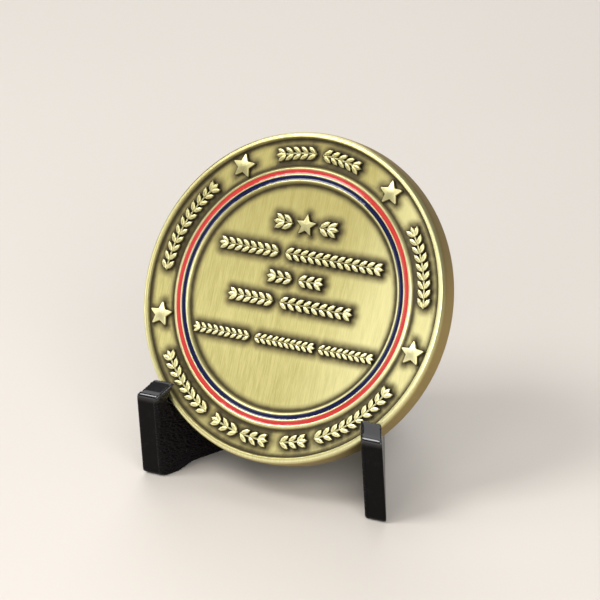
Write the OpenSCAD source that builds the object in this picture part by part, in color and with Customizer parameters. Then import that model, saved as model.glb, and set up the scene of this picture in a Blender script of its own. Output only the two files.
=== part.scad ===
// Challenge coin leaning on a folding easel of two hinged plates.
// The coin's front faces -Y and +Z is up. The origin is on the ground, under
// the middle of the whole object.

/* [Coin] */
// Diameter of the coin
coin_d = 44.45; // [43:0.05:46]
// Thickness of the coin over both rims
coin_t = 3.6; // [3.3:0.1:3.9]
// Angle that the coin leans back from upright
lean = 31.5; // [30:0.5:33]
// Height of the coin's lowest edge above the ground
coin_clear = 4.2; // [3.7:0.1:4.4]
// Width of the raised rim
rim_w = 0.8; // [0.6:0.05:1]
// Radius of the rounded outer edge of the rim
rim_round = 0.4; // [0.2:0.05:0.5]
// Run of the sloping wall inside the rim
rim_slope = 0.25; // [0.1:0.05:0.4]
// Depth of the ornament band below the rim
band_depth = 0.6; // [0.4:0.05:0.7]
// Depth of the centre field below the rim
field_depth = 0.75; // [0.6:0.05:0.9]

/* [Enamel rings] */
// Radius of the flat centre field
field_r = 15.1; // [14.8:0.05:15.4]
// Run of the bevel round the centre field
bevel_w = 0.4; // [0.2:0.05:0.5]
// Width of the inner metal ridge
inner_ridge_w = 0.25; // [0.2:0.01:0.4]
// Width of the navy enamel
navy_w = 0.53; // [0.4:0.01:0.6]
// Width of the metal ridge between the two colours
mid_ridge_w = 0.17; // [0.12:0.01:0.25]
// Width of the red enamel
red_w = 0.65; // [0.5:0.01:0.7]
// Width of the outer metal ridge
outer_ridge_w = 0.22; // [0.15:0.01:0.3]
// Run of the sloping wall outside the ridges
outer_slope = 0.4; // [0.1:0.05:0.4]
// Depth of the ridges' tops below the rim
ridge_depth = 0.2; // [0.1:0.05:0.3]
// Depth of the enamel channels below the rim
channel_depth = 0.55; // [0.45:0.05:0.6]
// How far the enamel's surface lies below the ridges' tops
enamel_low = 0.08; // [0.04:0.02:0.12]

/* [Stars] */
// Circumradius of a star on the ornament band
star_r = 1.7; // [1.2:0.05:1.75]
// Radius of the circle that the stars stand on
star_track = 19.45; // [19.2:0.05:19.6]
// Clockwise angles of the four stars from the top, in degrees
star_angles = [-34, 35.5, 103, -106];
// Height of a star above the band
star_h = 0.5; // [0.3:0.05:0.55]

/* [Reverse] */
// Radius of the ring ridge on the reverse
back_ring_r = 15.5; // [14:0.1:16.5]
// Circumradius of the star on the reverse
back_star_r = 6.5; // [5:0.1:8]

/* [Easel] */
// Thickness of each easel plate
plate_t = 2.8; // [2.6:0.1:3]
// Angle of each plate to the coin's axis
splay = 28; // [27:0.5:29]
// Distance of each prong's middle from the centre plane
prong_x = 17; // [16.5:0.1:17.5]
// Distance of the prongs' front faces before the middle of the coin's front
prong_y = 10.7; // [10.5:0.1:11]
// Height of the prong at its front face
prong_h = 12.2; // [11.5:0.1:12.4]
// Extra height of the prong at the coin
prong_rise = 1; // [0.4:0.1:1.2]
// Radius of the rounding on the prong's front edges
prong_round = 0.7; // [0.4:0.1:0.9]
// Space between the prong and the coin's front
prong_gap = 0.6; // [0.6:0.05:0.7]
// Space between the coin and what it rests on
rest_gap = 0.12; // [0.1:0.02:0.2]
// Height of the back rests
rest_h = 25; // [22:0.5:27]
// Width of the flat top of each back rest
rest_top = 3.2; // [2.5:0.1:4]
// Height of the arch under each plate
arch_h = 0.7; // [0.4:0.1:1]
// Length of the front foot
foot_l = 3.5; // [3:0.1:5]

/* [Hinge] */
// Outer radius of the hinge knuckles
barrel_r = 2.3; // [2.1:0.05:2.5]
// Height of the hinge
barrel_h = 16; // [14:0.5:18]
// Radius of the hinge pin
pin_r = 0.8; // [0.7:0.05:0.9]
// Radial clearance of the pin in the turning knuckle
pin_clear = 0.06; // [0.03:0.01:0.09]
// Clearance between knuckles, and round them
knuckle_gap = 0.2; // [0.15:0.05:0.3]
// Distance of each plate's inner face from the hinge axis
plate_off = 0.15; // [0.1:0.05:0.2]

/* [Hidden] */
$fn = 96;
fine = 0.01; // overlap that joins solids and clears cuts
brass = [0.73, 0.67, 0.43];
red = [0.78, 0.24, 0.21];
navy = [0.07, 0.09, 0.24];
black = [0.06, 0.05, 0.06];
steel = [0.62, 0.62, 0.64];

coin_r = coin_d / 2;
rim_in = coin_r - rim_w;
inner_ridge_r = field_r + bevel_w;
navy_in = inner_ridge_r + inner_ridge_w;
navy_out = navy_in + navy_w;
red_in = navy_out + mid_ridge_w;
red_out = red_in + red_w;
band_in = red_out + outer_ridge_w;
enamel_top = ridge_depth + enamel_low;
star_waist = 0.5; // inner radius of a star over its circumradius

// Places are worked out from the middle of the coin's front, then moved so
// that the whole object is centred over the origin.
coin_z = coin_clear + (coin_r - rim_round) * cos(lean) + (coin_t - rim_round) * sin(lean) + rim_round;
front_reach = (coin_r - rim_round) * sin(lean) - rim_round * cos(lean) + rim_round;
plate_mid = plate_off + plate_t / 2;
arm_l = (prong_x - plate_mid * cos(splay)) / sin(splay);
hinge_dy = arm_l * cos(splay) - plate_mid * sin(splay) - prong_y;
coin_y = (front_reach - hinge_dy - barrel_r) / 2;
hinge_y = coin_y + hinge_dy;
prong_face_y = coin_y - prong_y;

knuckle_h = (barrel_h - 2 * knuckle_gap) / 3;
middle_knuckle = [knuckle_h + knuckle_gap, 2 * knuckle_h + knuckle_gap];
outer_knuckles = [[0, knuckle_h], [barrel_h - knuckle_h, barrel_h]];
pin_press = 0.01; // how much smaller the fixed knuckles' hole is than the pin
seat_in = 2; // how far a plate's blank runs into the coin's seat
blank_h = prong_h + 2; // height of a plate's blank at the prong
web_u = 6; // distance from the hinge at which a plate drops to the hinge's height
prong_t = 2.6; // depth of the prongs' sloping tops, to inside the coin's seat
cheek_t = 5; // depth of what stands beside the coin's edge, behind the prongs' faces
far = coin_d; // reach of a trimming shape, past the whole easel

// Depth of the coin's back face behind its front at a height, along Y
function behind(z) = (z - coin_z) * tan(lean) + (coin_t + rest_gap) / cos(lean);
// Distance from the hinge, along a plate, at which its inner face meets the coin's back
function rest_u(z) = (hinge_dy + plate_off * sin(splay) - behind(z)) / cos(splay);

// Stands what is drawn on the coin, front up, in its leaning place
module on_easel() {
    translate([0, coin_y, coin_z]) rotate([90 - lean, 0, 0]) children();
}

module star_outline(r) {
    polygon([for (i = [0:9]) let (k = i % 2 == 0 ? r : r * star_waist) [k * sin(i * 36), k * cos(i * 36)]]);
}

// Half section of the blank: a bar with rounded outer corners
module blank_section() {
    edge_r = coin_r - rim_round;
    translate([0, -coin_t]) square([edge_r, coin_t]);
    translate([0, -coin_t + rim_round]) square([coin_r, coin_t - 2 * rim_round]);
    for (z = [-rim_round, rim_round - coin_t]) translate([edge_r, z]) circle(r = rim_round);
}

// What is struck out of the front, between the centre and the rim
module front_cut() {
    polygon([
        [0, fine], [0, -field_depth], [field_r, -field_depth], [inner_ridge_r, -ridge_depth],
        [navy_in, -ridge_depth], [navy_in, -channel_depth], [navy_out, -channel_depth], [navy_out, -ridge_depth],
        [red_in, -ridge_depth], [red_in, -channel_depth], [red_out, -channel_depth], [red_out, -ridge_depth],
        [band_in, -ridge_depth], [band_in + outer_slope, -band_depth], [rim_in - rim_slope, -band_depth], [rim_in, 0],
        [rim_in, fine]
    ]);
}

// The reverse is plainer: one field inside the rim, with one ring ridge
module back_cut() {
    floor_z = band_depth - coin_t;
    polygon([
        [0, -coin_t - fine], [0, floor_z], [back_ring_r, floor_z], [back_ring_r, ridge_depth - coin_t],
        [back_ring_r + inner_ridge_w, ridge_depth - coin_t], [back_ring_r + inner_ridge_w, floor_z],
        [rim_in - rim_slope, floor_z], [rim_in, -coin_t], [rim_in, -coin_t - fine]
    ]);
}

module coin_body() {
    color(brass) on_easel() {
        rotate_extrude() difference() {
            blank_section();
            front_cut();
            back_cut();
        }
        for (a = star_angles)
            translate([star_track * sin(a), star_track * cos(a), -band_depth - fine])
                linear_extrude(star_h + fine) star_outline(star_r);
        translate([0, 0, ridge_depth - coin_t])
            linear_extrude(band_depth - ridge_depth + fine) star_outline(back_star_r);
    }
}

// Enamel fills its channel and stands just below the ridges beside it
module enamel_ring(r_in, r_out) {
    on_easel() rotate_extrude()
        translate([r_in, -channel_depth]) square([r_out - r_in, channel_depth - enamel_top]);
}

module red_enamel_ring() {
    color(red) enamel_ring(red_in, red_out);
}

module navy_enamel_ring() {
    color(navy) enamel_ring(navy_in, navy_out);
}

// Side outline of a plate, with the hinge axis at 0 and the prong to the right.
// It runs on past the prong's face and past the coin, and is trimmed there.
module plate_outline() {
    arch_run = 3 * arch_h; // length of each sloping end of the arch
    front_foot = arm_l - foot_l;
    back_foot = barrel_r + 1;
    top_u = rest_u(rest_h) + seat_in;
    polygon([
        [0, 0], [back_foot, 0], [back_foot + arch_run, arch_h], [front_foot - arch_run, arch_h],
        [front_foot, 0], [arm_l + plate_t, 0], [arm_l + plate_t, blank_h], [rest_u(blank_h) + seat_in, blank_h],
        [top_u, rest_h], [top_u - seat_in - rest_top, rest_h], [web_u, barrel_h], [0, barrel_h]
    ]);
}

// Everything behind the prongs' front faces and under their tops, as a bar along X
module prong_envelope() {
    y0 = prong_face_y;
    y1 = y0 + prong_round;
    y2 = y0 + prong_t;
    y3 = y0 + cheek_t;
    top = prong_h + prong_rise;
    translate([-coin_r, 0, 0]) rotate([90, 0, 90]) linear_extrude(coin_d) {
        polygon([
            [y1, 0], [far, 0], [far, far], [y3, far], [y3, top], [y2, top],
            [y1, prong_h], [y1, prong_h - prong_round], [y0, prong_h - prong_round], [y0, prong_round],
            [y1, prong_round]
        ]);
        for (z = [prong_round, prong_h - prong_round]) translate([y1, z]) circle(r = prong_round);
    }
}

// Room for the coin's edge: close behind and below it, wider before it
module coin_seat() {
    on_easel() translate([0, 0, -coin_t - rest_gap])
        cylinder(r = coin_r + rest_gap, h = coin_t + rest_gap + prong_gap);
}

// A cylinder on the hinge axis from one height to another
module on_hinge(z0, z1, r) {
    translate([0, hinge_y, z0]) cylinder(r = r, h = z1 - z0);
}

// An easel plate on the right of the hinge, with the knuckles between the heights in
// own, room for those in other, and a pin hole of radius hole_r
module easel_arm(own, other, hole_r) {
    difference() {
        union() {
            difference() {
                intersection() {
                    translate([0, hinge_y, 0]) rotate([0, 0, splay - 90])
                        translate([0, plate_off + plate_t, 0]) rotate([90, 0, 0])
                            linear_extrude(plate_t) plate_outline();
                    prong_envelope();
                }
                coin_seat();
                for (z = other) on_hinge(z[0] - knuckle_gap, z[1] + knuckle_gap, barrel_r + knuckle_gap);
            }
            for (z = own) on_hinge(z[0], z[1], barrel_r);
        }
        on_hinge(-1, barrel_h + 1, hole_r);
    }
}

module right_arm() {
    color(black) easel_arm([middle_knuckle], outer_knuckles, pin_r + pin_clear);
}

module left_arm() {
    color(black) mirror([1, 0, 0]) easel_arm(outer_knuckles, [middle_knuckle], pin_r - pin_press);
}

module hinge_pin() {
    head_h = 0.5;
    head_r = 1.5 * pin_r;
    color(steel) {
        on_hinge(head_h, barrel_h + fine, pin_r);
        on_hinge(barrel_h, barrel_h + head_h, head_r);
    }
}

coin_body();
red_enamel_ring();
navy_enamel_ring();
left_arm();
right_arm();
hinge_pin();
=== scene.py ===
import math

import bpy
from mathutils import Matrix, Vector
from mathutils.kdtree import KDTree


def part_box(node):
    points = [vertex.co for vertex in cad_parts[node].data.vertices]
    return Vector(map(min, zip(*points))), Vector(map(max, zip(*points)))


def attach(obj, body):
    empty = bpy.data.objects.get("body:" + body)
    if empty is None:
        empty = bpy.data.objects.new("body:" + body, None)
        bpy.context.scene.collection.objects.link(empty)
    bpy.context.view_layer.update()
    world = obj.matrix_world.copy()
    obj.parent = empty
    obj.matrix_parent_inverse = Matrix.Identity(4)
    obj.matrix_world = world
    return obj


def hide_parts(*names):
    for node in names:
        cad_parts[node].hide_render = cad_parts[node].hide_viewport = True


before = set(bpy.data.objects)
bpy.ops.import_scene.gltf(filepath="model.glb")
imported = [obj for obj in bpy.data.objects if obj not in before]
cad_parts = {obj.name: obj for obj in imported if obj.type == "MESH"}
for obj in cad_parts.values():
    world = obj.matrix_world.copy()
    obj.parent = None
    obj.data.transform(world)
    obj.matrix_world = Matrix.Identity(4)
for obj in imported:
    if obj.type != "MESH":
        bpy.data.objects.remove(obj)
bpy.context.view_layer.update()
mm = 0.001

# Lengths in the dictionaries are millimetres and angles are degrees.
coin = {
    "lean": 31.5,             # back from upright
    "thickness": 3.6,
    "rimWidth": 0.8,
    "crown": 0.08,            # fall of the rim's top from its inner edge to the shoulder
    "shoulder": (0.42, 1.1),  # how far the rounded outer edge reaches across the rim and down the side
    "backShoulder": (0.4, 0.4),
    "rimSlope": 0.25,         # run of the wall inside the rim
    "bandDepth": 0.6,
    "fieldDepth": 0.75,
    "fieldRadius": 15.1,
    "ridgeDepth": 0.2,
    "channelDepth": 0.55,
    "navy": (15.68, 16.3),    # inner and outer radius of each enamel channel
    "red": (16.47, 17.09),
    "ridgeOuter": 17.32,
    "outerSlope": 0.4,        # run of the wall outside the ridges
    "innerRidge": 15.5,
    "backRing": (15.5, 15.82),
    "steps": 256,             # round the coin
    "softEdge": 0.05,         # bevel on every struck edge
    "ringStep": 0.5,          # widest quad in the flat fields, which carry the patina
}


# Small helpers for the modelling operators.

def pickOnly(*pieces):
    bpy.ops.object.select_all(action="DESELECT")
    for piece in pieces:
        piece.select_set(True)
    bpy.context.view_layer.objects.active = pieces[-1]


def editMode(kind):
    bpy.ops.object.mode_set(mode="EDIT")
    bpy.ops.mesh.select_mode(type=kind)


def objectMode():
    bpy.ops.object.mode_set(mode="OBJECT")


def pickVerts(test):
    # the primitive is selected all over, so the choice is made afresh
    bpy.ops.mesh.select_all(action="DESELECT")
    objectMode()
    for vert in bpy.context.object.data.vertices:
        vert.select = test(vert)
    bpy.ops.object.mode_set(mode="EDIT")


def pickFaces(test):
    bpy.ops.mesh.select_all(action="DESELECT")
    objectMode()
    for face in bpy.context.object.data.polygons:
        face.select = test(face)
    bpy.ops.object.mode_set(mode="EDIT")


def pushOut(value):
    bpy.ops.mesh.extrude_region_move(TRANSFORM_OT_translate={"value": value})


def outward():
    bpy.ops.mesh.select_all(action="SELECT")
    bpy.ops.mesh.normals_make_consistent(inside=False)


def applyModifiers(piece):
    pickOnly(piece)
    for modifier in list(piece.modifiers):
        bpy.ops.object.modifier_apply(modifier=modifier.name)


def roundEdges(piece, width, steps, limit=35):
    bevel = piece.modifiers.new("soft edge", "BEVEL")
    bevel.width = width
    bevel.segments = steps
    bevel.limit_method = "ANGLE"
    bevel.angle_limit = math.radians(limit)
    bevel.use_clamp_overlap = True
    applyModifiers(piece)


def smoothByAngle(piece, angle=30):
    pickOnly(piece)
    bpy.ops.object.shade_smooth_by_angle(angle=math.radians(angle))


def settle(piece, place):
    # carries a finished piece to its place, and leaves the object at the origin
    piece.matrix_world = place
    pickOnly(piece)
    bpy.ops.object.transform_apply(location=True, rotation=True, scale=True)


def spinSection(name, points, steps, closed=False):
    # draws half a section one point at a time, in the XZ plane, and spins it round Z
    bpy.ops.object.select_all(action="DESELECT")
    bpy.ops.mesh.primitive_plane_add(size=1)
    piece = bpy.context.object
    piece.name = name
    editMode("VERT")
    bpy.ops.mesh.select_all(action="SELECT")
    bpy.ops.mesh.merge(type="CENTER")
    bpy.ops.transform.translate(value=(points[0][0], 0, points[0][1]))
    route = list(points[1:]) + ([points[0]] if closed else [])
    last = points[0]
    for point in route:
        pushOut((point[0] - last[0], 0, point[1] - last[1]))
        last = point
    bpy.ops.mesh.select_all(action="SELECT")
    bpy.ops.mesh.remove_doubles(threshold=1e-5)
    bpy.ops.mesh.spin(steps=steps, angle=math.tau, center=(0, 0, 0), axis=(0, 0, 1))
    bpy.ops.mesh.select_all(action="SELECT")
    bpy.ops.mesh.remove_doubles(threshold=1e-4)
    outward()
    objectMode()
    return piece


def copyOf(template, place):
    # a copy with its own mesh, standing where place puts it
    made = template.copy()
    made.data = template.data.copy()
    bpy.context.scene.collection.objects.link(made)
    made.matrix_world = place
    return made


# Where the coin stands.
coinLow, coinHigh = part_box("coin_body")
coinRadius = (coinHigh.x - coinLow.x) / 2 / mm
lean = math.radians(coin["lean"])
thickness = coin["thickness"]
faceNormal = Vector((0, -math.cos(lean), math.sin(lean)))
frontCentre = (coinLow + coinHigh) / 2 + faceNormal * thickness / 2 * mm
# Coin pieces are modelled lying flat in millimetres, front up, with the rim's top at 0.
onEasel = (Matrix.Translation(frontCentre) @ Matrix.Rotation(math.pi / 2 - lean, 4, "X")
           @ Matrix.Scale(mm, 4))
front = Matrix.Identity(4)
back = Matrix.Translation((0, 0, -thickness)) @ Matrix.Rotation(math.pi, 4, "Y")


class Wire:
    # one output socket, so that shader maths reads as ordinary sums
    def __init__(self, paint, socket):
        self.paint = paint
        self.socket = socket

    def sum(self, operation, left, right):
        return self.paint.node("ShaderNodeMath", {"operation": operation}, {0: left, 1: right})

    def __add__(self, other):
        return self.sum("ADD", self, other)

    def __radd__(self, other):
        return self.sum("ADD", other, self)

    def __sub__(self, other):
        return self.sum("SUBTRACT", self, other)

    def __rsub__(self, other):
        return self.sum("SUBTRACT", other, self)

    def __mul__(self, other):
        return self.sum("MULTIPLY", self, other)

    def __rmul__(self, other):
        return self.sum("MULTIPLY", other, self)

    def __pow__(self, other):
        return self.sum("POWER", self, other)


socketNames = {
    "color": "Base Color",
    "rough": "Roughness",
    "metal": "Metallic",
    "normal": "Normal",
    "coat": "Coat Weight",
    "coatRough": "Coat Roughness",
    "specular": "Specular IOR Level",
}


class Paint:
    def __init__(self, name):
        self.material = bpy.data.materials.new(name)
        self.material.use_nodes = True
        self.tree = self.material.node_tree
        self.shader = self.tree.nodes["Principled BSDF"]
        self.column = -300

    def plug(self, socket, value):
        if isinstance(value, Wire):
            self.tree.links.new(value.socket, socket)
        else:
            socket.default_value = value

    def node(self, kind, settings, sockets, output=0):
        made = self.tree.nodes.new(kind)
        made.location = (self.column, -len(self.tree.nodes) * 40)
        self.column -= 60
        for key, value in settings.items():
            setattr(made, key, value)
        for key, value in sockets.items():
            self.plug(made.inputs[key], value)
        return Wire(self, made.outputs[output])

    def place(self, matrixPlace=None):
        # object coordinates, measured from a place and along its axes if one is given
        spot = self.node("ShaderNodeTexCoord", {}, {}, "Object")
        if matrixPlace is None:
            return spot
        where, turn, size = matrixPlace.decompose()
        return self.node("ShaderNodeMapping", {"vector_type": "TEXTURE"},
                         {"Vector": spot, "Location": where, "Rotation": turn.to_euler(), "Scale": size})

    def stretched(self, vector, scale):
        return self.node("ShaderNodeMapping", {}, {"Vector": vector, "Scale": scale})

    def parts(self, vector):
        split = self.tree.nodes.new("ShaderNodeSeparateXYZ")
        self.plug(split.inputs[0], vector)
        return [Wire(self, out) for out in split.outputs]

    def noise(self, vector, scale, detail=3, roughness=0.5):
        return self.node("ShaderNodeTexNoise", {},
                         {"Vector": vector, "Scale": scale, "Detail": detail, "Roughness": roughness})

    def span(self, value, low, high):
        # smooth step from 0 at low to 1 at high
        return self.node("ShaderNodeMapRange", {"interpolation_type": "SMOOTHSTEP"},
                         {"Value": value, "From Min": low, "From Max": high})

    def blend(self, share, one, other):
        return self.node("ShaderNodeMix", {"data_type": "RGBA"}, {0: share, 6: one, 7: other}, 2)

    def bump(self, height, strength, distance, normal=None):
        sockets = {"Height": height, "Strength": strength, "Distance": distance}
        if normal is not None:
            sockets["Normal"] = normal
        return self.node("ShaderNodeBump", {}, sockets)

    def finish(self, **sockets):
        for key, value in sockets.items():
            self.plug(self.shader.inputs[socketNames[key]], value)
        return self.material


def shade(red, green, blue):
    # a screen colour, 0 to 255, as the linear colour that shaders take
    parts = (red, green, blue)
    return tuple(((c / 255 + 0.055) / 1.055) ** 2.4 if c > 10 else c / 255 / 12.92 for c in parts) + (1,)


def antiqueBrass():
    paint = Paint("antiqueBrass")
    spot = paint.place(onEasel)
    x, y, z = paint.parts(spot)
    middle = paint.node("ShaderNodeMath", {"operation": "ABSOLUTE"}, {0: z + thickness / 2})
    radius = (x * x + y * y) ** 0.5
    # fine brushing runs up and down the coin, over broader cloudy streaks
    hair = paint.noise(paint.stretched(spot, (8, 0.4, 0.4)), 1, 4, 0.7)
    streak = paint.noise(paint.stretched(spot, (1.3, 0.12, 0.3)), 1, 2)
    cloud = paint.noise(spot, 0.8, 3)
    # high parts are rubbed bright; the patina stays in the corners of the relief, and the corners are
    # darkened further by painted shade from the occlusion node
    high = paint.span(middle, thickness / 2 - 0.4, thickness / 2 - 0.27)
    side = paint.span(radius, coinRadius - 0.12, coinRadius - 0.005)
    aged = paint.node("ShaderNodeAttribute", {"attribute_name": "patina"}, {}, "Fac")
    aged = aged * (1 + 0.5 * (cloud - 0.5) + 0.4 * (hair - 0.5))
    near = paint.node("ShaderNodeAmbientOcclusion", {"samples": 8, "only_local": True},
                      {"Distance": 0.6 * mm}, "AO")
    cornerPatinaAndShade = paint.span(near, 0.85, 0.45) * (1 - 0.8 * high)
    field = paint.blend(streak, shade(158, 148, 88), shade(196, 187, 126))
    field = paint.blend(paint.span(hair, 0.4, 0.62) * 0.45, field, shade(212, 203, 142))
    rim = paint.span(middle, thickness / 2 - 0.09, thickness / 2 - 0.03)
    bright = paint.blend(rim, shade(226, 219, 166), shade(212, 203, 142))
    bright = paint.blend(paint.span(hair, 0.4, 0.65) * 0.4, bright, shade(192, 182, 118))
    metal = paint.blend(high, field, bright)
    # painted shade: the brass is darker towards the top
    metal = paint.blend(paint.span(y, -8, 16) * 0.5, metal, shade(120, 110, 60))
    # painted sheen: the brass is lighter towards the right, where the light falls on it
    metal = paint.blend(paint.span(x - 0.2 * y, 3, 15) * 0.35, metal, shade(240, 234, 180))
    # painted reflection: the coin's edge is coloured a darker brown, standing in for the surroundings it
    # mirrors
    metal = paint.blend(side * 0.7, metal, shade(150, 118, 54))
    metal = paint.blend(paint.span(aged, 0.02, 0.7) * 0.8, metal, shade(98, 88, 54))
    # the deepest patina, at the foot of the walls, is darkened further as painted shade
    color = paint.blend(paint.span(aged, 0.5, 0.95) * 0.85, metal, shade(46, 37, 20))
    # patina and painted shade: corners that the occlusion node finds enclosed are darkened
    color = paint.blend(cornerPatinaAndShade * 0.85, color, shade(36, 29, 15))
    rough = 0.47 + 0.16 * (hair - 0.5) - 0.13 * high + 0.12 * aged
    grain = paint.bump(hair, 0.3, 0.02 * mm)
    return paint.finish(color=color, rough=rough, metal=1 - 0.4 * aged, normal=grain)


def glossEnamel(name, deep, light):
    paint = Paint(name)
    spot = paint.place(onEasel)
    swirl = paint.noise(spot, 0.5, 2)
    speck = paint.span(paint.noise(spot, 6, 2), 0.62, 0.8)
    color = paint.blend(swirl, deep, light)
    wavy = paint.bump(paint.noise(spot, 1.2, 1), 0.5, 0.05 * mm)
    return paint.finish(color=color, rough=0.1 + 0.12 * speck, normal=wavy)


def blackPlastic(name, turn):
    # turn is the plate's own heading, so that the pebbling follows its inner face
    paint = Paint(name)
    low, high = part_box("hinge_pin")
    heading = Matrix.Rotation(turn, 4, "Z")
    own = paint.place(Matrix.Translation((low + high) / 2) @ heading @ Matrix.Scale(mm, 4))
    along, across, height = paint.parts(own)
    away = paint.node("ShaderNodeMath", {"operation": "ABSOLUTE"}, {0: across})
    nearFace = paint.span(away, easel["plateInner"] + 0.5, easel["plateInner"] + 0.2)
    inner = nearFace * paint.span(along, 2.6, 3.2)
    pebble = paint.node("ShaderNodeTexVoronoi", {"feature": "SMOOTH_F1"},
                        {"Vector": paint.stretched(own, (1, 1, 1.6)), "Scale": 2.4}, "Distance")
    fine = paint.noise(own, 5, 3, 0.6)
    scuff = paint.span(paint.noise(own, 0.7, 4, 0.65), 0.5, 0.8)
    color = paint.blend(scuff, shade(6, 4, 5), shade(15, 12, 13))
    polished = paint.span(height, easel["polishFrom"], easel["polishFrom"] + 0.8)
    rough = 0.24 + 0.1 * inner + 0.1 * scuff + 0.08 * (fine - 0.5)
    normal = paint.bump(fine, 0.12, 0.02 * mm, paint.bump(pebble * inner, 1.0, 0.22 * mm))
    return paint.finish(color=color, rough=rough, normal=normal, specular=0.1, coat=polished, coatRough=0.06)


def drawnSteel():
    paint = Paint("drawnSteel")
    spot = paint.place()
    ring = paint.noise(paint.stretched(spot, (900, 900, 6000)), 1, 3)
    return paint.finish(color=paint.blend(ring, shade(150, 150, 154), shade(196, 196, 200)),
                        rough=0.3 + 0.2 * (ring - 0.5), metal=1.0, normal=paint.bump(ring, 0.15, 0.02 * mm))


print("materials")
brassPaint = antiqueBrass()
redPaint = glossEnamel("redEnamel", shade(170, 42, 38), shade(188, 60, 54))
navyPaint = glossEnamel("navyEnamel", shade(6, 10, 46), shade(12, 18, 62))


def coinSection():
    rimIn = coinRadius - coin["rimWidth"]
    wallIn = rimIn - coin["rimSlope"]
    ridge, channel, band = -coin["ridgeDepth"], -coin["channelDepth"], -coin["bandDepth"]
    field = -coin["fieldDepth"]
    section = [(0, field), (coin["fieldRadius"], field), (coin["innerRidge"], ridge)]
    for inner, outer in (coin["navy"], coin["red"]):
        section += [(inner, ridge), (inner, channel), (outer, channel), (outer, ridge)]
    section += [(coin["ridgeOuter"], ridge), (coin["ridgeOuter"] + coin["outerSlope"], band)]
    section += [(wallIn, band), (rimIn, 0)]

    def shoulder(across, down, fall=0, turns=10):
        # a quarter of an ellipse, from the rim's top to the side
        turn = [k * math.pi / 2 / turns for k in range(turns + 1)]
        return [(coinRadius - across + across * math.sin(t), -fall - down + down * math.cos(t)) for t in turn]

    section += shoulder(*coin["shoulder"], coin["crown"])
    section += [(r, -thickness - z) for r, z in reversed(shoulder(*coin["backShoulder"]))]
    # the plainer reverse
    ringIn, ringOut = coin["backRing"]
    reverseSection = [(rimIn, 0), (wallIn, band), (ringOut, band), (ringOut, ridge)]
    reverseSection += [(ringIn, ridge), (ringIn, band), (0, band)]
    section += [(r, -thickness - z) for r, z in reverseSection]
    # the flat fields are cut into narrower rings
    rings = [section[0]]
    for (r0, z0), (r1, z1) in zip(section, section[1:]):
        cuts = math.ceil(abs(r1 - r0) / coin["ringStep"]) if z0 == z1 else 1
        rings += [(r0 + (r1 - r0) * k / cuts, z0 + (z1 - z0) * k / cuts) for k in range(1, cuts + 1)]
    return rings


print("coin body")
coinBody = spinSection("coinBody", coinSection(), coin["steps"])
roundEdges(coinBody, coin["softEdge"], 2)


# Struck relief: stars, laurel sprigs and beads, each a closed solid rooted in its field.
stars = {
    "radius": 1.92,
    "waist": 0.46,
    "tipRound": 0.28,
    "height": 0.5,
    "edge": 0.05,
    "track": 19.45,
    "angles": (-34, 35.5, 103, -106),   # clockwise from the top
}
leaves = {
    "length": 1.6,
    "width": 0.66,
    "height": 0.5,
    "crown": 0.06,            # how far the top is domed
    "spread": 34,             # angle of a leaf to its stem
    "spacing": 1.2,
    "stemWidth": 0.3,
    "stemOverlap": 1.04,      # each stem is this much longer than its step, so that the joins are closed
    "edge": 0.03,
    "sink": 0.05,             # how far relief is rooted in the field
}
# Sprigs on the band run between clockwise angles from the top, and grow
# from the first towards the second.
bandSprigs = {
    "track": 19.25,
    "runs": ((-1.5, -18), (1.5, 18), (-88, -48), (85, 53),
             (190, 178), (191.5, 204), (172, 161), (208, 238), (157, 120)),
}
# Rows in the centre: height above the middle, leaf size, runs.
centreRows = (
    {"y": 5.65, "size": 0.95, "runs": ((-3.2, -11.8), (-2.2, 12.1))},
    {"y": 2.35, "size": 0.95, "runs": ((-0.5, -3.9), (0.5, 3.9))},
    {"y": -0.9, "size": 0.95, "runs": ((-2.6, -9.0), (-1.6, 9.0))},
    {"y": -6.1, "size": 0.75, "runs": ((-5.0, -13.3), (-4.2, 4.6), (5.4, 13.4))},
)
crest = {"y": 9.7, "starRadius": 1.5, "starCrown": 0.1, "size": 1.15, "wing": (2.0, 4.2)}
reverse = {
    "starRadius": 6.4,
    "starHeight": 0.12,
    "starCrown": 0.26,
    "wreathTrack": 11.2,
    "wreathSize": 1.5,
    "wreathRun": (176, 24),
    "beadTrack": 18.7,
    "beadRadius": 0.62,
    "beads": 40,
}


def starTemplate(name, radius, height, tipRound, crown):
    bpy.ops.object.select_all(action="DESELECT")
    bpy.ops.mesh.primitive_circle_add(vertices=10, radius=radius, fill_type="NGON")
    star = bpy.context.object
    star.name = name
    editMode("VERT")
    pickVerts(lambda vert: math.cos(5 * math.atan2(vert.co.x, vert.co.y)) < 0)
    bpy.ops.transform.resize(value=(stars["waist"], stars["waist"], 1), center_override=(0, 0, 0))
    if tipRound:
        pickVerts(lambda vert: vert.co.length > radius * 0.9)
        bpy.ops.mesh.bevel(affect="VERTICES", offset=tipRound, segments=2)
    bpy.ops.mesh.select_mode(type="FACE")
    bpy.ops.mesh.select_all(action="SELECT")
    pushOut((0, 0, height + leaves["sink"]))
    if crown:
        bpy.ops.mesh.poke(offset=crown)
    else:
        bpy.ops.transform.resize(value=(0.93, 0.93, 1), center_override=(0, 0, 0))
    outward()
    objectMode()
    return star


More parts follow.
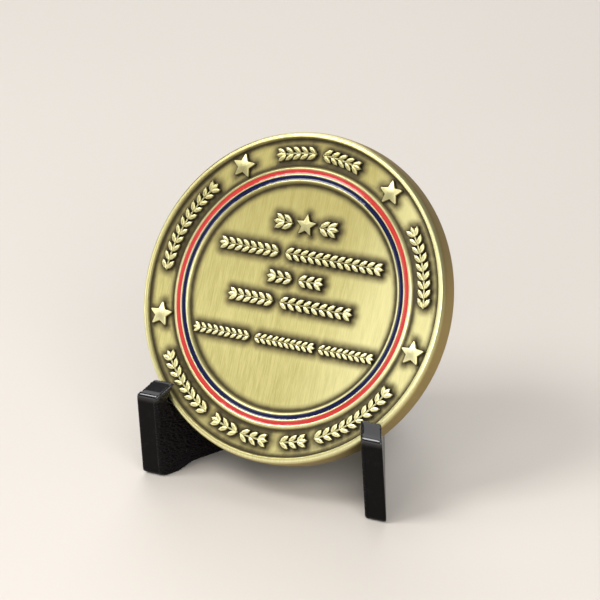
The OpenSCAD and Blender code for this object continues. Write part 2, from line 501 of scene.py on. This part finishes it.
def leafTemplate():
    # a leaf pointing along +X from its root at the origin, with a domed top
    length, width = leaves["length"], leaves["width"]
    bpy.ops.object.select_all(action="DESELECT")
    bpy.ops.mesh.primitive_circle_add(vertices=12, radius=length / 2, fill_type="NGON")
    leaf = bpy.context.object
    leaf.name = "leafTemplate"
    editMode("VERT")
    bpy.ops.mesh.select_all(action="SELECT")
    bpy.ops.transform.rotate(value=math.pi / 2, orient_axis="Z", center_override=(0, 0, 0))
    bpy.ops.transform.resize(value=(1, width / length, 1), center_override=(0, 0, 0))
    # draw the points beside each tip in, so that the leaf is pointed
    pickVerts(lambda vert: abs(vert.co.x) > length * 0.4 and abs(vert.co.y) > width * 0.1)
    bpy.ops.transform.resize(value=(0.86, 0.66, 1), center_override=(0, 0, 0))
    bpy.ops.mesh.select_mode(type="FACE")
    bpy.ops.mesh.select_all(action="SELECT")
    bpy.ops.transform.translate(value=(length / 2, 0, 0))
    pushOut((0, 0, leaves["height"] + leaves["sink"]))
    bpy.ops.transform.resize(value=(0.94, 0.86, 1), center_override=(length / 2, 0, 0))
    bpy.ops.mesh.inset(thickness=0.09, depth=leaves["crown"] / 2)
    bpy.ops.mesh.poke(offset=leaves["crown"] / 2)
    outward()
    objectMode()
    return leaf


def stemTemplate(length):
    # a straight stem along +X, with its top narrower than its root
    high = leaves["height"] * 0.8 + leaves["sink"]
    bpy.ops.object.select_all(action="DESELECT")
    bpy.ops.mesh.primitive_cube_add(size=1, location=(0, 0, 0), scale=(length, leaves["stemWidth"], high))
    stem = bpy.context.object
    stem.name = "stemTemplate"
    editMode("FACE")
    bpy.ops.mesh.select_all(action="SELECT")
    bpy.ops.transform.translate(value=(0, 0, high / 2))
    pickFaces(lambda face: face.normal.z > 0.9)
    bpy.ops.transform.resize(value=(1, 0.7, 1), center_override=(0, 0, high))
    outward()
    objectMode()
    return stem


def beadTemplate():
    radius = reverse["beadRadius"]
    bpy.ops.object.select_all(action="DESELECT")
    bpy.ops.mesh.primitive_uv_sphere_add(segments=12, ring_count=8, radius=radius)
    bead = bpy.context.object
    bead.name = "beadTemplate"
    editMode("VERT")
    # the lower half is drawn in to a short root
    pickVerts(lambda vert: vert.co.z < -0.01)
    bpy.ops.transform.resize(value=(1, 1, 0.2), center_override=(0, 0, 0))
    bpy.ops.mesh.select_all(action="SELECT")
    bpy.ops.transform.resize(value=(1, 1, 0.72), center_override=(0, 0, 0))
    outward()
    objectMode()
    return bead


def onFace(side, x, y, depth, turn=0, size=1.0):
    # a place on one face, rooted just under a field that lies depth below the rim
    return (side @ Matrix.Translation((x, y, -depth - leaves["sink"])) @ Matrix.Rotation(turn, 4, "Z")
            @ Matrix.Diagonal((size, size, 1, 1)))


def growSprig(side, depth, size, route, length):
    # leaf pairs along a stem; route gives the point and the heading at a distance
    pairs = max(1, round(length / (leaves["spacing"] * size)))
    step = length / pairs
    spread = math.radians(leaves["spread"])
    for k in range(pairs):
        x, y, heading = route(k * step)
        last = k == pairs - 1
        for way in (-1, 1):
            relief.append(copyOf(leaf, onFace(side, x, y, depth, heading + way * spread, size)))
        midX, midY, midHeading = route((k + 0.5) * step)
        if not last:
            stretch = step * leaves["stemOverlap"] / leaves["spacing"]
            longer = Matrix.Scale(stretch, 4, (1, 0, 0))
            relief.append(copyOf(stem, onFace(side, midX, midY, depth, midHeading) @ longer))
    x, y, heading = route(length - step)
    relief.append(copyOf(leaf, onFace(side, x, y, depth, heading, size)))


def alongRing(track, first, last):
    # clockwise angles from the top
    way = 1 if last > first else -1

    def route(distance):
        angle = math.radians(first) + way * distance / track
        heading = -angle if way > 0 else math.pi - angle
        return track * math.sin(angle), track * math.cos(angle), heading

    return route, abs(math.radians(last - first)) * track


def alongRow(y, first, last):
    way = 1 if last > first else -1

    def route(distance):
        return first + way * distance, y, 0 if way > 0 else math.pi

    return route, abs(last - first)


print("relief")
leaf = leafTemplate()
roundEdges(leaf, leaves["edge"], 1, 30)
stem = stemTemplate(leaves["spacing"])
bead = beadTemplate()
star = starTemplate("star", stars["radius"], stars["height"], stars["tipRound"], 0)
roundEdges(star, stars["edge"], 2, 30)
crestStar = starTemplate("crestStar", crest["starRadius"], stars["height"], 0, crest["starCrown"])
backStar = starTemplate("backStar", reverse["starRadius"], reverse["starHeight"], 0, reverse["starCrown"])
templates = [leaf, stem, bead, star, crestStar, backStar]
relief = []

for angle in stars["angles"]:
    turn = math.radians(angle)
    relief.append(copyOf(star, onFace(front, stars["track"] * math.sin(turn), stars["track"] * math.cos(turn),
                                      coin["bandDepth"])))
for first, last in bandSprigs["runs"]:
    growSprig(front, coin["bandDepth"], 1.0, *alongRing(bandSprigs["track"], first, last))
for row in centreRows:
    for first, last in row["runs"]:
        growSprig(front, coin["fieldDepth"], row["size"], *alongRow(row["y"], first, last))
relief.append(copyOf(crestStar, onFace(front, 0, crest["y"], coin["fieldDepth"])))
for way in (-1, 1):
    wingStart, wingEnd = crest["wing"]
    growSprig(front, coin["fieldDepth"], crest["size"], *alongRow(crest["y"], way * wingStart, way * wingEnd))

relief.append(copyOf(backStar, onFace(back, 0, 0, coin["bandDepth"])))
wreathStart, wreathEnd = reverse["wreathRun"]
for way in (-1, 1):
    growSprig(back, coin["bandDepth"], reverse["wreathSize"],
              *alongRing(reverse["wreathTrack"], way * wreathStart, way * wreathEnd))
for k in range(reverse["beads"]):
    turn = math.tau * k / reverse["beads"]
    relief.append(copyOf(bead, onFace(back, reverse["beadTrack"] * math.sin(turn),
                                      reverse["beadTrack"] * math.cos(turn), coin["bandDepth"])))

for template in templates:
    bpy.data.objects.remove(template)
plainPoints = len(coinBody.data.vertices)
pickOnly(*relief, coinBody)
bpy.ops.object.join()


patina = {
    "reliefReach": 1.4,       # how far the dark finish spreads from the foot of the relief
    "wallReach": 0.85,        # and from the foot of a rim or ridge
    "falloff": 1.15,
    "clearOf": 0.2,           # nothing this near the rim's level keeps any
    "fullAt": 0.5,
}


def sideOf(point):
    # 1 on the front of the coin and -1 on its reverse
    return 1 if point.z > -thickness / 2 else -1


def agePatina(piece, plainPoints):
    # dark patina is 1 at the foot of every wall and fades over its reach; high parts are rubbed clean
    points = piece.data.vertices
    feet = KDTree(len(points) - plainPoints)
    for vert in points[plainPoints:]:
        feet.insert((vert.co.x, vert.co.y, sideOf(vert.co) * coinRadius), vert.index)
    feet.balance()
    rimFoot = coinRadius - coin["rimWidth"] - coin["rimSlope"]
    walls = {1: (coin["fieldRadius"], coin["ridgeOuter"] + coin["outerSlope"], rimFoot),
             -1: (*coin["backRing"], rimFoot)}
    values = []
    for vert in points:
        side = sideOf(vert.co)
        depth = thickness / 2 - abs(vert.co.z + thickness / 2)
        share = 0
        if vert.index < plainPoints:
            radius = math.hypot(vert.co.x, vert.co.y)
            fromWall = min(abs(radius - wall) for wall in walls[side])
            if radius > rimFoot + coin["rimSlope"] / 2:
                fromWall = patina["wallReach"]
            fromRelief = feet.find((vert.co.x, vert.co.y, side * coinRadius))[2]
            share = min(fromWall / patina["wallReach"], fromRelief / patina["reliefReach"])
        near = max(0, 1 - share) ** patina["falloff"]
        deep = min(1, max(0, (depth - patina["clearOf"]) / (patina["fullAt"] - patina["clearOf"])))
        values.append(near * deep)
    layer = piece.data.attributes.new("patina", "FLOAT", "POINT")
    layer.data.foreach_set("value", values)


agePatina(coinBody, plainPoints)
settle(coinBody, onEasel)
editMode("FACE")
outward()
objectMode()
smoothByAngle(coinBody, 40)
coinBody.data.materials.clear()
coinBody.data.materials.append(brassPaint)
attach(coinBody, "coin")
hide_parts("coin_body")


# The enamel is dished a little, where it sank as it cured.
enamel = {"below": 0.07, "dish": 0.05, "dishSteps": 6}


def enamelRing(name, channel, node, paint):
    inner, outer = channel
    top = -coin["ridgeDepth"] - enamel["below"]
    floor = -coin["channelDepth"]
    steps = enamel["dishSteps"]
    points = [(inner, floor)]
    for k in range(steps + 1):
        across = k / steps
        points.append((inner + (outer - inner) * across, top - enamel["dish"] * 4 * across * (1 - across)))
    points.append((outer, floor))
    ring = spinSection(name, points, coin["steps"], closed=True)
    settle(ring, onEasel)
    smoothByAngle(ring, 40)
    ring.data.materials.append(paint)
    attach(ring, "coin")
    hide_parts(node)


print("enamel")
enamelRing("redEnamelRing", coin["red"], "red_enamel_ring", redPaint)
enamelRing("navyEnamelRing", coin["navy"], "navy_enamel_ring", navyPaint)


easel = {
    "splay": 28,              # angle of each plate to the coin's axis
    "plateInner": 0.15,       # distance of a plate's inner face from the hinge axis
    "voxel": 0.16,            # side of the cubes that the plates are remeshed with
    "rounds": 10,             # of smoothing, which round the edges
    "keep": 0.3,              # share of the faces kept afterwards
    "mergeWithin": 0.002,
    "polishFrom": 2.4,        # height over the pin's middle above which the tops are rubbed glossy
}
pin = {"voxel": 0.08, "rounds": 2, "keep": 0.5}


def mergedCopy(node, name):
    piece = bpy.data.objects.new(name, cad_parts[node].data.copy())
    bpy.context.scene.collection.objects.link(piece)
    pickOnly(piece)
    editMode("VERT")
    bpy.ops.mesh.select_all(action="SELECT")
    bpy.ops.mesh.remove_doubles(threshold=easel["mergeWithin"] * mm)
    bpy.ops.mesh.dissolve_limited(angle_limit=math.radians(0.5))
    outward()
    objectMode()
    return piece


def moulded(node, name, voxel, rounds, keep, paint, body):
    # the designed part with its edges rounded as they come from the mould
    piece = mergedCopy(node, name)
    remesh = piece.modifiers.new("even skin", "REMESH")
    remesh.mode = "VOXEL"
    remesh.voxel_size = voxel * mm
    soften = piece.modifiers.new("rounded edges", "SMOOTH")
    soften.factor = 0.5
    soften.iterations = rounds
    thin = piece.modifiers.new("fewer faces", "DECIMATE")
    thin.ratio = keep
    applyModifiers(piece)
    editMode("FACE")
    outward()
    objectMode()
    smoothByAngle(piece, 60)
    piece.data.materials.clear()
    piece.data.materials.append(paint)
    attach(piece, body)
    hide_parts(node)


print("easel")
splay, straight = math.radians(easel["splay"]), math.pi / 2
for node, name, turn, body in (("right_arm", "rightArm", splay - straight, "right_plate"),
                               ("left_arm", "leftArm", -splay - straight, "left_plate")):
    moulded(node, name, easel["voxel"], easel["rounds"], easel["keep"],
            blackPlastic(name + "Plastic", turn), body)
moulded("hinge_pin", "hingePin", pin["voxel"], pin["rounds"], pin["keep"],
        drawnSteel(), "left_plate")


shot = {
    "azimuth": 30.1,
    "elevation": 25.6,
    "roll": 3.6,
    "distance": 552,
    "lens": 250.6,
    "right": 1.29,            # the aim point lies this far right of and below the coin's middle
    "down": 0.4,
}


def aimCamera():
    turn, rise, roll = (math.radians(shot[key]) for key in ("azimuth", "elevation", "roll"))
    away = Vector((math.sin(turn) * math.cos(rise), -math.cos(turn) * math.cos(rise), math.sin(rise)))
    level = Vector((math.cos(turn), math.sin(turn), 0))
    plumb = away.cross(level)
    right = level * math.cos(roll) - plumb * math.sin(roll)
    up = plumb * math.cos(roll) + level * math.sin(roll)
    target = frontCentre + (right * shot["right"] - up * shot["down"]) * mm
    eye = target + away * shot["distance"] * mm
    bpy.ops.object.camera_add(location=eye)
    camera = bpy.context.object
    camera.matrix_world = Matrix.Translation(eye) @ Matrix((right, up, away)).transposed().to_4x4()
    camera.data.lens = shot["lens"]
    camera.data.sensor_width = 36
    camera.data.clip_start = 0.01
    camera.data.clip_end = 20
    bpy.context.scene.camera = camera


def paleFloor():
    bpy.ops.object.select_all(action="DESELECT")
    bpy.ops.mesh.primitive_plane_add(size=3, location=(0, 0, 0))
    floor = bpy.context.object
    floor.name = "floor"
    paint = Paint("floorPaint")
    grain = paint.noise(paint.place(), 9, 3)
    tone = paint.blend(grain, shade(202, 195, 186), shade(208, 201, 192))
    floor.data.materials.append(paint.finish(color=tone, rough=0.62))


def softLight(name, toward, distance, size, power):
    place = frontCentre + Vector(toward).normalized() * distance
    bpy.ops.object.light_add(type="AREA", location=place)
    light = bpy.context.object
    light.name = name
    light.rotation_euler = (frontCentre - place).to_track_quat("-Z", "Y").to_euler()
    light.data.shape = "RECTANGLE"
    light.data.size, light.data.size_y = size
    light.data.energy = power


print("camera and light")
aimCamera()
paleFloor()
softLight("keyLight", (-0.42, -0.4, 0.8), 0.4, (0.16, 0.16), 0.9)
softLight("topLight", (-0.25, 0.3, 1), 0.9, (0.6, 0.6), 1.8)
softLight("rightLight", (0.64, -0.63, 0.43), 0.4, (0.24, 0.3), 1.1)
softLight("faceLight", (0.03, -0.84, 0.54), 0.5, (0.16, 0.3), 0.42)
softLight("leftLight", (-0.84, -0.43, 0.33), 0.4, (0.1, 0.25), 0.24)
softLight("frontLight", (-0.45, -0.88, 0.04), 0.5, (0.4, 0.14), 0.3)
softLight("backLight", (-0.45, 0.72, 0.5), 0.6, (0.4, 0.35), 1.2)
world = bpy.data.worlds.new("world")
world.use_nodes = True
world.node_tree.nodes["Background"].inputs["Color"].default_value = shade(225, 225, 228)
world.node_tree.nodes["Background"].inputs["Strength"].default_value = 0.35
bpy.context.scene.world = world
bpy.context.scene.view_settings.view_transform = "Standard"
